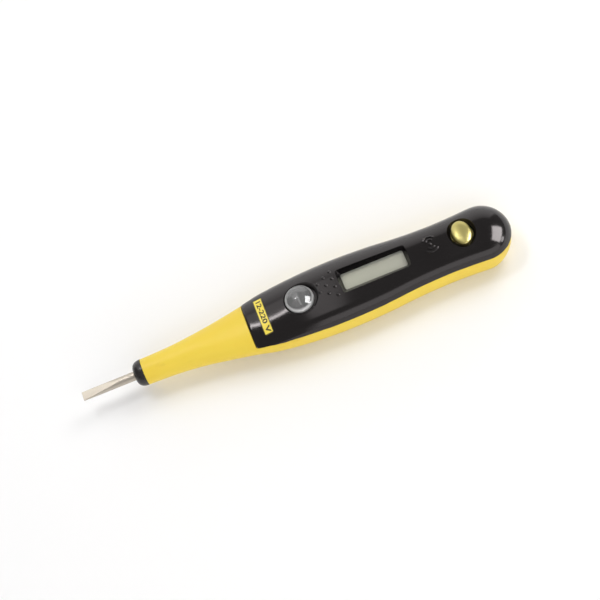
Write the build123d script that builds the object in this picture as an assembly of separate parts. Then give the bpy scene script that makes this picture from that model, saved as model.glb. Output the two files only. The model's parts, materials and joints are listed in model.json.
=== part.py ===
from build123d import *
from math import cos, radians, sin, sqrt
import os

# Pen-shaped voltage tester with a slotted blade, a display, a lens button and a touch button.
# The maths below counts X from the blade's tip; the finished pieces are moved so that the origin is the
# bottom centre of the whole tester. +X runs to the rear end, +Z is the display side.

# ---- lengths along the tester, in a chain from the tip to the rear end ----
blade_exposed = 17.1
collar_length = 3.2
nose_length = 34.4
cavity_share = 0.74     # the body is hollow behind this share of the nose; ahead of it the nose has a bore
cover_front_to_lens = 17.6
lens_to_display = 24.2
display_to_touch = 28.6
touch_to_rear = 14.9

# ---- cross-section of the body ----
nose_diameter = 8.2
grip_width = 21.6
top_rise = 7.8          # axis to the crown of the cover
bottom_drop = 8.5       # axis to the underside before its flat is cut
axis_height = 8.0       # rest face to the blade's axis
parting_rise = 1.7      # axis to the joint between shell and cover
wall = 1.4
cover_proud = 0.35      # the cover stands this much above the nose at its front edge
cover_overhang = 0.12   # and this much outside the shell along its sides
lip_height = 1.0
lip_clearance = 0.05
frame_wall = 1.0        # frames inside the cover, around the window and both buttons
frame_overrun = 1.0     # a pocket is cut this far past its button's lowest place

# ---- blade and collar ----
blade_diameter = 2.8
blade_edge_thickness = 0.6
blade_grind_length = 11.6
blade_inside_length = 24.4
blade_flange_radius = 2.0
blade_flange_length = 1.5
sleeve_radius = 2.6
collar_spigot_length = 4.7

# ---- board and its parts ----
board_thickness = 1.0
board_width = 13.0
board_front_gap = 3.3   # cover's front edge to the board
board_rear_gap = 5.0    # board to the rear end
lead_radius = 0.25
resistor_radius = 1.2
resistor_length = 6.0
probe_spring_radius = 1.5
probe_spring_wire = 0.35

# ---- display ----
display_length = 20.2   # what shows through the window
display_width = 5.9
display_depth = 2.2     # crown of the cover to the window's face
display_bevel = 1.1     # each sloping side of the recess, seen from above
window_thickness = 0.9
window_margin = 1.0
panel_thickness = 2.0
panel_margin_x = 2.9
panel_margin_y = 1.6

# ---- lens button and the lamp and switch under it ----
lens_diameter = 8.8
lens_dome = 2.4
lens_base_height = 14.65
lens_flange = 0.7
lens_flange_thickness = 0.8
lens_skirt = 1.3
lens_wall = 0.8
lens_dish_depth = 0.85  # the dish starts this far under the dome's edge
lens_dish_height = 2.4  # and opens over this height, past the crown
lens_dish_spread = 2.3
lens_travel = 0.4
led_diameter = 3.0
led_height = 3.9
led_base_height = 0.6
led_offset = 1.4        # lens centre forward to the lamp
switch_height = 1.5
switch_size = 3.0
plunger_radius = 0.7
plunger_height = 0.7
switch_floor = 0.3
foot_half_width = 1.2
foot_half_length = 0.6

# ---- touch button ----
touch_length = 6.1
touch_width = 8.2
touch_crown = 1.4
touch_base_height = 14.6
touch_flange = 0.6
touch_flange_thickness = 0.8
touch_skirt = 1.7
touch_dish_depth = 0.8
touch_dish_height = 2.2
touch_dish_spread = 1.8
touch_travel = 0.8
touch_spring_radius = 1.2
touch_spring_wire = 0.25

# ---- button cells and their door ----
cell_diameter = 11.6
cell_height = 5.4
cell_gap = 0.2
cell_to_touch = 7.4     # rear cell's centre to the touch button's centre
door_thickness = 1.4
door_side_margin = 0.3  # door's edge beyond the cells
door_gap = 0.15
hinge_pin_radius = 0.45
hinge_pin_reach = 0.6
hinge_roof = 0.25       # the hinge's axis lies this far under the door's inside
notch_radius = 2.6      # finger notch at the door's free end
notch_sink = 1.2
rib_radius = 0.42       # grip grooves across the door
rib_pitch = 1.3
rib_half_length = 3.6
link_thickness = 0.2
link_half_width = 2.0
link_reach = 2.6
contact_thickness = 0.2
contact_width = 3.0
strip_gap = 0.05

# ---- screws ----
screw_radius = 1.0
screw_head_radius = 1.8
screw_head_height = 1.5
screw_sink = 1.5        # rest face to the screw's head
boss_wall = 1.2
screw_slot_half_width = 0.22
screw_slot_half_length = 1.3
screw_bite = 2.4        # board's top to the screw's end
front_screw_back = 9.3  # cover's front edge to the front screw
rear_screw_ahead = 7.8  # rear screw to the rear end

# ---- label and grip dots ----
label_length = 12.4
label_width = 2.9
label_thickness = 0.2
label_from_front = 4.0
dot_radius = 0.62
dot_rise = 0.3
dot_pitch = 2.75        # across the body; along it the dots fill the room between the lens and the display
dots_from_lens = 2.14
dots_to_display = 1.6
fit_gap = 0.10          # radial clearance of a button in its hole

# ---- places that follow from the sizes above ----
x_collar = blade_exposed
x_nose = x_collar + collar_length
x_cover = x_nose + nose_length
x_lens = x_cover + cover_front_to_lens
x_display = x_lens + lens_to_display
x_touch = x_display + display_to_touch
x_end = x_touch + touch_to_rear
overall_length = x_end

nose_radius = nose_diameter / 2
blade_radius = blade_diameter / 2
lens_radius = lens_diameter / 2
cell_radius = cell_diameter / 2
parting_height = axis_height + parting_rise
board_bottom = axis_height + lead_radius
board_top = board_bottom + board_thickness
board_x0 = x_cover + board_front_gap
board_x1 = x_end - board_rear_gap
window_top = axis_height + top_rise - display_depth
panel_top = window_top - window_thickness
x_rear_cell = x_touch - cell_to_touch
x_front_cell = x_rear_cell - cell_diameter - cell_gap
cell_bottom = door_thickness + link_thickness + strip_gap
hinge_height = door_thickness - hinge_roof
hinge_x = x_front_cell - cell_radius - hinge_height - 0.2
door_half_width = cell_radius + door_side_margin
blade_flange_x = x_collar + blade_inside_length - blade_flange_length
x_cavity = x_nose + cavity_share * nose_length
x_front_screw = x_cover + front_screw_back
x_rear_screw = x_end - rear_screw_ahead
place = Location((-overall_length / 2, 0, 0))


# ---- the body's outer form: rounded above the axis, fuller below it ----
tail = 9.0              # length of the rounded rear end
x_tail = x_end - tail

round_fullness = 0.552  # a quarter of an ellipse
square_fullness = 0.85  # the lower corners of the grip

# place, then share of the grip's half width, top rise and bottom drop, and how full the lower half is
grip_stations = [
    (x_cavity, 0.610, 0.545, 0.610, 0.64),
    (x_cover, 0.765, 0.575, 0.690, 0.71),
    (x_cover + 0.36 * cover_front_to_lens, 0.880, 0.690, 0.800, 0.78),
    (x_lens, 0.965, 0.925, 0.955, 0.83),
    (x_lens + 0.50 * lens_to_display, 1.000, 1.000, 1.000, square_fullness),
    (x_display, 0.960, 0.975, 1.000, square_fullness),
    (x_display + 0.38 * display_to_touch, 0.870, 0.940, 1.000, square_fullness),
    (x_display + 0.72 * display_to_touch, 0.835, 0.925, 1.000, square_fullness),
    (x_touch, 0.855, 0.940, 1.000, square_fullness),
]
tail_share = (0.885, 0.950, 1.000)
tail_steps = (0.0, 0.35, 0.60, 0.79, 0.91, 0.97, 1.0)
tail_tip = 0.1          # share of the tail's section that is left at its very end


def quarter(x, start, corner, end, fullness):
    """One quarter of a section, from start round to end; fullness runs from 0.55, an ellipse, to 1, a square."""
    points = [start, start + (corner - start) * fullness, end + (corner - end) * fullness, end]
    return Bezier(*[Vector(x, p.X, p.Y + axis_height) for p in points])


def section(x, half_width, rise, drop, fullness):
    right, left = Vector(half_width, 0), Vector(-half_width, 0)
    crown, sole = Vector(0, rise), Vector(0, -drop)
    return Face(Wire([
        quarter(x, right, Vector(half_width, rise), crown, round_fullness),
        quarter(x, crown, Vector(-half_width, rise), left, round_fullness),
        quarter(x, left, Vector(-half_width, -drop), sole, fullness),
        quarter(x, sole, Vector(half_width, -drop), right, fullness),
    ]))


def envelope(inset=0.0, proud_side=0.0, proud_top=0.0, from_nose=True):
    """The body's outer form, made smaller by inset; the cover's form is a little proud of the shell's."""
    sections = []
    if from_nose:
        for share, grow in ((0.0, 0.0), (0.27, 0.35), (0.50, 1.15)):
            x = x_nose + share * nose_length
            r = nose_radius + grow - inset
            sections.append(section(x, r, nose_radius + 0.25 * grow - inset,
                                    nose_radius + 0.6 * grow - inset,
                                    round_fullness))
    for x, wide, rise, drop, fullness in grip_stations:
        sections.append(section(
            x,
            wide * grip_width / 2 - inset + proud_side,
            rise * top_rise - inset + proud_top,
            drop * bottom_drop - inset,
            fullness,
        ))
    wide, rise, drop = tail_share
    for step in tail_steps:
        shrink = max(sqrt(1 - step**2), tail_tip)
        fullness = round_fullness + (square_fullness - round_fullness) * (1 - step)
        sections.append(section(
            x_tail + (tail - inset) * step,
            (wide * grip_width / 2 - inset + proud_side) * shrink,
            (rise * top_rise - inset + proud_top) * shrink,
            (drop * bottom_drop - inset) * shrink,
            fullness,
        ))
    return loft(sections)


# ---- small helpers ----
def block(x0, x1, y0, y1, z0, z1):
    return Pos((x0 + x1) / 2, (y0 + y1) / 2, (z0 + z1) / 2) * Box(x1 - x0, y1 - y0, z1 - z0)


def post(x, y, z0, z1, radius):
    """An upright cylinder."""
    return Pos(x, y, (z0 + z1) / 2) * Cylinder(radius, z1 - z0)


def rod(x0, x1, radius, z=axis_height):
    """A cylinder along X."""
    return Pos((x0 + x1) / 2, 0, z) * Rot(0, 90, 0) * Cylinder(radius, x1 - x0)


def cross_rod(x, z, y0, y1, radius):
    """A cylinder along Y."""
    return Pos(x, (y0 + y1) / 2, z) * Rot(90, 0, 0) * Cylinder(radius, y1 - y0)


def oval_post(x, z0, z1, half_x, half_y):
    """An upright post with an oval plan."""
    return Pos(x, 0, z0) * extrude(Ellipse(half_x, half_y), z1 - z0)


def oval_dish(x, z0, z1, low, high):
    """A dish whose oval plan grows from low, at z0, to high, at z1; each is a pair of half sizes."""
    return loft([Pos(x, 0, z0) * Ellipse(*low), Pos(x, 0, z1) * Ellipse(*high)])


def coil(x, y, z, radius, wire, height, turns):
    """A coil spring standing on z, its wire ends at the middle of their turns."""
    path = Helix(pitch=(height - wire) / turns, height=height - wire, radius=radius)
    profile = Plane(origin=path @ 0, z_dir=path % 0) * Circle(wire / 2)
    return Pos(x, y, z + wire / 2) * sweep(profile, path=path, is_frenet=True)


# ---- shells ----
far = 200.0             # past every outline, for cutting tools
outer = envelope()
inner = envelope(inset=wall, from_nose=False)
middle = envelope(inset=wall / 2, from_nose=False)
middle_loose = envelope(inset=wall / 2 - lip_clearance, from_nose=False)
proud = envelope(proud_side=cover_overhang, proud_top=cover_proud, from_nose=False)

above_rest = block(-far, far, -far, far, 0, far)
above_floor = block(x_cavity, far, -far, far, wall, far)
above_parting = block(x_cover, far, -far, far, parting_height, far)
lip_band = block(x_cover + wall, far, -far, far, parting_height, parting_height + lip_height)
groove_band = block(x_cover, far, -far, far, parting_height, parting_height + lip_height + lip_clearance)
outer = outer & above_rest
inner = inner & above_floor

screw_places = (x_front_screw, x_rear_screw)
cell_places = (x_front_cell, x_rear_cell)
door_box = block(hinge_x, x_touch, -door_half_width, door_half_width, 0, door_thickness)
door_rear = x_touch
bay_wall = 1.1
bay_front = hinge_x - hinge_height - door_gap
bay_rear = door_rear + door_gap


def make_lower_shell():
    shell = outer - above_parting
    shell -= inner & block(-far, far, -far, far, -far, parting_height + lip_height)
    shell += (middle - inner) & lip_band
    shell -= rod(x_nose - 1, x_cavity + 1, sleeve_radius)
    for x in (bay_front - bay_wall, bay_rear):
        shell += inner & block(x, x + bay_wall, -far, far, wall / 2, board_bottom)
    for x in screw_places:
        shell += post(x, 0, wall / 2, board_bottom, screw_head_radius + boss_wall) & outer
        shell -= post(x, 0, -1, screw_sink + screw_head_height, screw_head_radius + fit_gap)
        shell -= post(x, 0, 0, board_bottom + 1, screw_radius + fit_gap)
    for x in cell_places:
        shell -= post(x, 0, door_thickness - 0.01, board_bottom, cell_radius + 0.15)
    opening = door_half_width + door_gap
    shell -= block(bay_front, bay_rear, -opening, opening, -1, door_thickness + 0.5)
    shell -= block(bay_front, hinge_x + 1.2, -opening, opening, -1, 2 * hinge_height + 0.1)
    pin_end = door_half_width + hinge_pin_reach + 0.05
    shell -= cross_rod(hinge_x, hinge_height, -pin_end, pin_end, hinge_pin_radius + 0.05)
    shell -= Pos(bay_rear + 0.6, 0, -notch_sink) * Sphere(notch_radius)
    return shell


def make_battery_door():
    door = (outer & door_box)
    barrel = cross_rod(hinge_x, hinge_height, -door_half_width, door_half_width, hinge_height)
    door += barrel & block(hinge_x - far, hinge_x + 0.5, -far, far, 0, far)
    reach = door_half_width + hinge_pin_reach
    door += cross_rod(hinge_x, hinge_height, -reach, reach, hinge_pin_radius)
    for step in range(5):
        x = door_rear - 3.2 - rib_pitch * step
        door -= cross_rod(x, -0.15, -rib_half_length, rib_half_length, rib_radius)
    return door


def lattice():
    """Places of the raised dots: columns of two, three and four, widening toward the display."""
    first = x_lens + lens_hole + dots_from_lens
    last = x_display - display_length / 2 - display_bevel - dots_to_display
    for column, count in enumerate((2, 3, 4)):
        x = first + (last - first) * column / 2
        for row in range(count):
            yield x, dot_pitch * (row - (count - 1) / 2)


def surface_height(x, y):
    """Height of the cover's outside above a point of the plan."""
    probe = block(x - 0.01, x + 0.01, y - 0.01, y + 0.01, axis_height, far) & proud
    return probe.bounding_box().max.Z


window_half_x = display_length / 2 + window_margin
window_half_y = display_width / 2 + window_margin
lens_hole = lens_radius + fit_gap
lens_pocket = lens_radius + lens_flange + fit_gap
lens_seat = lens_base_height - lens_skirt
touch_half = (touch_length / 2, touch_width / 2)
touch_seat = touch_base_height - touch_skirt


def grown(pair, extra):
    return (pair[0] + extra, pair[1] + extra)


def make_top_cover():
    body = proud & above_parting
    cover = body - inner
    cover -= middle_loose & groove_band
    # frames inside the cover that carry the display's window and guide both buttons
    frame = block(
        x_display - window_half_x - frame_wall, x_display + window_half_x + frame_wall,
        -window_half_y - frame_wall, window_half_y + frame_wall, panel_top, far,
    )
    cover += frame & body
    cover += post(x_lens, 0, lens_seat - lens_flange_thickness, far, lens_pocket + frame_wall) & body
    touch_ring = grown(touch_half, touch_flange + fit_gap + frame_wall)
    cover += oval_post(x_touch, touch_seat - touch_flange_thickness, far, *touch_ring) & body
    for x in screw_places:
        cover += post(x, 0, board_top, far, screw_radius + boss_wall) & body
        cover -= post(x, 0, board_top - 1, board_top + screw_bite + 0.2, screw_radius)
    # display recess, sloping on all four sides, and the seat of its window
    low = (display_length, display_width)
    above_crown = cover_proud + 1.0
    spread = display_bevel * (display_depth + above_crown) / display_depth
    recess = loft([
        Pos(x_display, 0, window_top) * Rectangle(*low),
        Pos(x_display, 0, axis_height + top_rise + above_crown) * Rectangle(low[0] + 2 * spread, low[1] + 2 * spread),
    ])
    cover -= recess
    cover -= block(
        x_display - window_half_x, x_display + window_half_x,
        -window_half_y, window_half_y, panel_top - 1, window_top,
    )
    # lens well
    cover -= post(x_lens, 0, axis_height, far, lens_hole)
    pocket_floor = lens_seat - lens_flange_thickness - lens_travel - frame_overrun
    cover -= post(x_lens, 0, pocket_floor, lens_seat, lens_pocket)
    dish_low = lens_base_height - lens_dish_depth
    cover -= loft([
        Pos(x_lens, 0, dish_low) * Circle(lens_hole),
        Pos(x_lens, 0, dish_low + lens_dish_height) * Circle(lens_hole + lens_dish_spread),
    ])
    # touch well
    cover -= oval_post(x_touch, axis_height, far, *grown(touch_half, fit_gap))
    pocket_floor = touch_seat - touch_flange_thickness - touch_travel - frame_overrun
    cover -= oval_post(x_touch, pocket_floor, touch_seat, *grown(touch_half, touch_flange + fit_gap))
    dish_low = touch_base_height - touch_dish_depth
    cover -= oval_dish(x_touch, dish_low, dish_low + touch_dish_height, grown(touch_half, fit_gap),
                       grown(touch_half, fit_gap + touch_dish_spread))
    for x, y in lattice():
        cover += Pos(x, y, surface_height(x, y) + dot_rise - dot_radius) * Sphere(dot_radius)
    return cover


def make_label():
    strip = block(
        x_cover + label_from_front, x_cover + label_from_front + label_width,
        -label_length / 2, label_length / 2, parting_height, far,
    )
    skin = envelope(proud_side=cover_overhang + label_thickness, proud_top=cover_proud + label_thickness,
                    from_nose=False)
    return (skin & strip) - proud


# ---- blade end ----
def make_blade():
    inside_end = x_collar + blade_inside_length
    blade = rod(0, inside_end, blade_radius)
    blade += rod(blade_flange_x, inside_end, blade_flange_radius)
    # two flats ground down to the edge
    for side in (1, -1):
        wedge = Polyline(
            (-1, axis_height + side * blade_edge_thickness / 2),
            (0, axis_height + side * blade_edge_thickness / 2),
            (blade_grind_length, axis_height + side * blade_radius),
            (blade_grind_length, axis_height + side * 2 * blade_radius),
            (-1, axis_height + side * 2 * blade_radius),
            close=True,
        )
        face = Plane.XZ.offset(-blade_diameter) * make_face(wedge)
        blade -= extrude(face, 2 * blade_diameter)
    return blade


def make_nose_collar():
    """A domed ring with a spigot that plugs into the nose."""
    outline = Polyline(
        (x_collar + 0.6, blade_radius),
        (x_nose + collar_spigot_length, blade_radius),
        (x_nose + collar_spigot_length, sleeve_radius),
        (x_nose, sleeve_radius),
        (x_nose, nose_radius),
    )
    dome = ThreePointArc(
        (x_nose, nose_radius),
        (x_collar + 0.34 * collar_length, 0.80 * nose_radius),
        (x_collar, blade_radius + 0.5),
    )
    lead_in = Line((x_collar, blade_radius + 0.5), (x_collar + 0.6, blade_radius))
    ring = revolve(make_face([outline, dome, lead_in]), Axis.X)
    return Pos(0, 0, axis_height) * ring


def make_blade_sleeve():
    x0 = x_nose + collar_spigot_length
    return rod(x0, blade_flange_x, sleeve_radius) - rod(x0 - 1, blade_flange_x + 1, blade_radius)


resistor_x0 = board_x0 - 2.2 - resistor_length


def make_probe_spring():
    x0 = x_collar + blade_inside_length
    length = resistor_x0 - x0
    spring = coil(0, 0, 0, probe_spring_radius, probe_spring_wire, length, 6)
    return Pos(x0, 0, axis_height) * Rot(0, 90, 0) * spring


def make_safety_resistor():
    body = rod(resistor_x0 + 0.6, resistor_x0 + resistor_length, resistor_radius)
    body = fillet(body.edges(), 0.4)
    cap = rod(resistor_x0, resistor_x0 + 0.8, probe_spring_radius + probe_spring_wire)
    lead = rod(resistor_x0 + resistor_length - 0.5, board_x0 + 2.5, lead_radius)
    return body + cap + lead


# ---- board and what stands on it ----
def make_board():
    half = board_width / 2
    board = block(board_x0, board_x1, -half, half, board_bottom, board_top)
    board = fillet(board.edges().filter_by(Axis.Z), 3.0)
    for x in screw_places:
        board -= post(x, 0, board_bottom - 1, board_top + 1, screw_radius + fit_gap)
    return board


panel_half_x = display_length / 2 + panel_margin_x
panel_half_y = display_width / 2 + panel_margin_y
panel_bottom = panel_top - panel_thickness


def make_display_panel():
    return block(x_display - panel_half_x, x_display + panel_half_x, -panel_half_y, panel_half_y,
                 panel_bottom, panel_top)


def make_display_window():
    return block(x_display - window_half_x, x_display + window_half_x, -window_half_y, window_half_y,
                 panel_top, window_top)


def make_contact_strips():
    strips = []
    for side in (1, -1):
        y = side * (panel_half_y - 0.8)
        strips.append(block(x_display - panel_half_x + 1, x_display + panel_half_x - 1,
                            y - 0.6, y + 0.6, board_top, panel_bottom))
    return strips


def make_controller_chip():
    blob = post(x_display, 0, board_top, board_top + 0.9, 2.9)
    return fillet(blob.edges().sort_by(Axis.Z)[-1], 0.7)


def make_surface_parts():
    """Chip resistors and capacitors soldered behind the display."""
    parts = []
    x0 = x_display + panel_half_x + 1.6
    for column in range(3):
        for row in range(4):
            x = x0 + 2.9 * column
            y = 2.4 * (row - 1.5)
            parts.append(block(x, x + 1.6, y - 0.4, y + 0.4, board_top, board_top + 0.5))
    return parts


x_led = x_lens - led_offset
x_switch = x_lens + (lens_radius - lens_wall) + 0.3
plunger_top = board_top + switch_height + plunger_height


def make_indicator_led():
    r = led_diameter / 2
    lamp = post(x_led, 0, board_top, board_top + led_base_height, r + 0.3)
    lamp += post(x_led, 0, board_top, board_top + led_height - r, r)
    lamp += Pos(x_led, 0, board_top + led_height - r) * Sphere(r)
    return lamp


def make_switch_body():
    body = block(x_switch - switch_size / 2, x_switch + switch_size / 2, -2.0, 2.0,
                 board_top, board_top + switch_height)
    return body - post(x_switch, 0, board_top + switch_floor, board_top + switch_height + 1, plunger_radius + 0.06)


def make_switch_plunger():
    return post(x_switch, 0, board_top + switch_floor + lens_travel + 0.2, plunger_top, plunger_radius)


def make_lens_button():
    """A clear cap: a low dome on a skirt, held up under the cover by its flange, with a foot on the switch."""
    flange_bottom = lens_seat - lens_flange_thickness
    sphere_radius = (lens_radius**2 + lens_dome**2) / (2 * lens_dome)
    centre = lens_base_height + lens_dome - sphere_radius
    dome = Pos(x_lens, 0, centre) * Sphere(sphere_radius)
    cap = dome & post(x_lens, 0, lens_base_height, far, lens_radius)
    cap += post(x_lens, 0, flange_bottom, lens_base_height, lens_radius)
    cap += post(x_lens, 0, flange_bottom, lens_seat - 0.05, lens_radius + lens_flange)
    hollow = Pos(x_lens, 0, centre) * Sphere(sphere_radius - lens_wall)
    hollow &= post(x_lens, 0, lens_base_height - 1, far, lens_radius - lens_wall)
    hollow += post(x_lens, 0, flange_bottom - 1, lens_base_height, lens_radius - lens_wall)
    cap -= hollow
    foot_x = x_lens + lens_radius - lens_wall / 2
    cap += block(x_switch - foot_half_length, foot_x, -foot_half_width, foot_half_width,
                 flange_bottom - 0.01, lens_seat - 0.3)
    cap += block(x_switch - foot_half_length, x_switch + foot_half_length, -foot_half_width, foot_half_width,
                 plunger_top, flange_bottom)
    return cap


def make_touch_button():
    """An oval brass cap with a crowned top and a flange that stops it under the cover."""
    half_x, half_y = touch_half
    button = oval_post(x_touch, touch_seat - 0.1, touch_base_height, half_x, half_y)
    crown = scale(Sphere(1.0), by=(half_x, half_y, touch_crown))
    button += Pos(x_touch, 0, touch_base_height) * (crown & block(-far, far, -far, far, 0, far))
    button += oval_post(x_touch, touch_seat - touch_flange_thickness, touch_seat - 0.05,
                        half_x + touch_flange, half_y + touch_flange)
    return button


def make_touch_spring():
    height = touch_seat - touch_flange_thickness - board_top
    return coil(x_touch, 0, board_top, touch_spring_radius, touch_spring_wire, height, 3)


# ---- button cells ----
def make_cell(x, upside_down):
    """A cell: a can with a narrower cap above it."""
    cap_height = 0.35
    can = post(x, 0, cell_bottom, cell_bottom + cell_height - cap_height, cell_radius)
    can = fillet(can.edges(), 0.3)
    can += post(x, 0, cell_bottom + 1, cell_bottom + cell_height, cell_radius - 0.8)
    if upside_down:
        middle_height = cell_bottom + cell_height / 2
        can = Pos(x, 0, middle_height) * Rot(180, 0, 0) * Pos(-x, 0, -middle_height) * can
    return can


def make_cell_link():
    return block(x_front_cell - link_reach, x_rear_cell + link_reach, -link_half_width, link_half_width,
                 door_thickness, door_thickness + link_thickness)


def make_cell_contact(x, lean):
    """A leaf soldered under the board and sprung down onto a cell."""
    t = contact_thickness
    top = board_bottom
    low = cell_bottom + cell_height
    outline = Polyline(
        (x - lean * 3.4, top), (x - lean * 1.2, top), (x + lean * 1.4, low + t), (x + lean * 2.6, low + 0.55 + t),
        (x + lean * 2.6, low + 0.55), (x + lean * 1.4, low), (x - lean * 1.3, top - t), (x - lean * 3.4, top - t),
        close=True,
    )
    face = Plane.XZ.offset(-contact_width / 2) * make_face(outline)
    return extrude(face, contact_width)


def make_screws():
    screws = []
    for x in screw_places:
        head_top = screw_sink + screw_head_height
        screw = post(x, 0, screw_sink, head_top, screw_head_radius)
        screw += post(x, 0, head_top, board_top + screw_bite, screw_radius)
        long, narrow = screw_slot_half_length, screw_slot_half_width
        screw -= block(x - long, x + long, -narrow, narrow, 0, screw_sink + 0.8)
        screw -= block(x - narrow, x + narrow, -long, long, 0, screw_sink + 0.8)
        screws.append(screw)
    return screws


nodes = {
    "lower_shell": make_lower_shell(),
    "top_cover": make_top_cover(),
    "label": make_label(),
    "blade": make_blade(),
    "nose_collar": make_nose_collar(),
    "blade_sleeve": make_blade_sleeve(),
    "probe_spring": make_probe_spring(),
    "safety_resistor": make_safety_resistor(),
    "circuit_board": make_board(),
    "display_panel": make_display_panel(),
    "display_window": make_display_window(),
    "display_contact_strips": make_contact_strips(),
    "controller_chip": make_controller_chip(),
    "surface_parts": make_surface_parts(),
    "indicator_led": make_indicator_led(),
    "switch_body": make_switch_body(),
    "switch_plunger": make_switch_plunger(),
    "lens_button": make_lens_button(),
    "touch_button": make_touch_button(),
    "touch_spring": make_touch_spring(),
    "cell_front": make_cell(x_front_cell, False),
    "cell_rear": make_cell(x_rear_cell, True),
    "cell_link": make_cell_link(),
    "cell_contact_front": make_cell_contact(x_front_cell, 1),
    "cell_contact_rear": make_cell_contact(x_rear_cell, -1),
    "battery_door": make_battery_door(),
    "case_screws": make_screws(),
}

os.makedirs("parts", exist_ok=True)
for name, shape in nodes.items():
    pieces = shape if isinstance(shape, list) else [shape]
    solids = [place * solid for piece in pieces for solid in piece.solids()]
    export_step(Compound(children=solids), f"parts/{name}.step")
    print(f"{name}: {len(solids)} solid, {sum(s.volume for s in solids):.1f} mm3")
print(f"overall length {overall_length:.1f} mm")
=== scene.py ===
# %% [markdown]
# # A pen-shaped voltage tester
# The real object is a test pencil: a slotted steel blade, a yellow moulded body and a glossy black cover
# with a clear button, a small display and a brass touch button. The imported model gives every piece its
# size and place in metres. This script keeps those places, builds finer versions of the pieces that show,
# and gives every surface its finish.

# %% Load the frame
import json
import math

import bmesh
import bpy
from mathutils import Matrix, Vector


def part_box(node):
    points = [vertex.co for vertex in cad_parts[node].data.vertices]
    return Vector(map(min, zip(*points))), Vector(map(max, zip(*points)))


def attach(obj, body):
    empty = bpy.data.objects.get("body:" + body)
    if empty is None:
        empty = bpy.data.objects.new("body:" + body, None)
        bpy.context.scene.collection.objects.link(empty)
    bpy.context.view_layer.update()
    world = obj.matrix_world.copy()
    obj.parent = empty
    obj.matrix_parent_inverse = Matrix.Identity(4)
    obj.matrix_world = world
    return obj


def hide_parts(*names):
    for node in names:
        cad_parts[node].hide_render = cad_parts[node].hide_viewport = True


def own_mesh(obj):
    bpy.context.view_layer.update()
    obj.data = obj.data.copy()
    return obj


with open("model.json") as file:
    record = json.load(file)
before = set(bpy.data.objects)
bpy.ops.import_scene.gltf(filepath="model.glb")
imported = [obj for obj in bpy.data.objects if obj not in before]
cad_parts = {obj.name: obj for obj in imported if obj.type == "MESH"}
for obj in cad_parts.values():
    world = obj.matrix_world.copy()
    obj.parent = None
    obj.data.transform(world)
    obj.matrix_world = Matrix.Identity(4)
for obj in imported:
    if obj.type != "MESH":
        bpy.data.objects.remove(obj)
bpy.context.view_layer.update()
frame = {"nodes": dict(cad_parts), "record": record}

nodes = frame["nodes"]

# %% [markdown]
# ## Places and sizes
# A scene stays easy to change when each place is read from the model or named once. Only the small
# details that the model leaves out are given as numbers, in millimetres.

# %% Read the main places
MM = 0.001


def middle(node):
    low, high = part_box(node)
    return (low + high) / 2


nose_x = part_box("lower_shell")[0].x
cover_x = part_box("top_cover")[0].x
end_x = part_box("lower_shell")[1].x
parting_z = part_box("top_cover")[0].z
tip_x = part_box("blade")[0].x
axis_z = middle("blade").z
lens_x = middle("lens_button").x
display_x = middle("display_window").x
touch_x = middle("touch_button").x
print("the cover runs from", round(cover_x / MM, 2), "to", round(end_x / MM, 2), "mm")
print("the shells part at", round(parting_z / MM, 2), "mm")

# %% [markdown]
# ## Modelling helpers
# Operators act on whatever is selected and active, so every step begins with nothing selected. These
# helpers open and close edit mode, pick vertices by a test of their place, and apply a modifier as soon
# as it is made, which keeps each finished piece a plain mesh.

# %% Selection and modifiers
def nothing_selected():
    if bpy.context.mode != "OBJECT":
        bpy.ops.object.mode_set(mode="OBJECT")
    bpy.ops.object.select_all(action="DESELECT")


def only(piece):
    nothing_selected()
    piece.select_set(True)
    bpy.context.view_layer.objects.active = piece
    return piece


def start(name):
    """Names the primitive that was just added and bakes its place into its mesh."""
    piece = bpy.context.object
    piece.name = piece.data.name = name
    bpy.ops.object.transform_apply(location=True, rotation=True, scale=True)
    return piece


def open_mesh(piece, mode="VERT"):
    only(piece)
    bpy.ops.object.mode_set(mode="EDIT")
    bpy.ops.mesh.select_mode(type=mode)


def close_mesh():
    bpy.ops.object.mode_set(mode="OBJECT")


def pick(piece, kind, test):
    """Selects the verts, edges or faces that pass a test, and nothing else."""
    mesh = bmesh.from_edit_mesh(piece.data)
    for element in (*mesh.verts, *mesh.edges, *mesh.faces):
        element.select = False
    chosen = [e for e in getattr(mesh, kind) if test(e)]
    for element in chosen:
        element.select_set(True)
    bmesh.update_edit_mesh(piece.data)
    return len(chosen)


def apply(piece, kind, **settings):
    only(piece)
    modifier = piece.modifiers.new(kind.title(), kind)
    for key, value in settings.items():
        setattr(modifier, key, value)
    bpy.ops.object.modifier_apply(modifier=modifier.name)


def combine(piece, tool, operation):
    """Joins a tool to a piece or cuts it away, then deletes the tool."""
    apply(piece, "BOOLEAN", object=tool, operation=operation, solver="EXACT")
    bpy.data.objects.remove(tool)


def tidy(piece, angle=30.0):
    """Merges doubles, points the faces outwards and smooths all but the real edges."""
    open_mesh(piece)
    bpy.ops.mesh.select_all(action="SELECT")
    bpy.ops.mesh.remove_doubles(threshold=0.004 * MM)
    bpy.ops.mesh.normals_make_consistent(inside=False)
    close_mesh()
    only(piece)
    bpy.ops.object.shade_smooth_by_angle(angle=math.radians(angle))
    print(piece.name, "has", len(piece.data.polygons), "faces")
    return piece


print("modelling helpers ready")

# %% [markdown]
# ## The form of the body
# Both shells are cut from one long form: round at the nose, then an ellipse above the axis and a fuller
# curve below it. A section is drawn with four Bezier quarters, and a smooth curve runs through a few
# stations along the body, so one function can answer where the skin is at any place. The stations are
# shares of the grip's half width, its rise above the axis and its drop below it.

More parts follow.
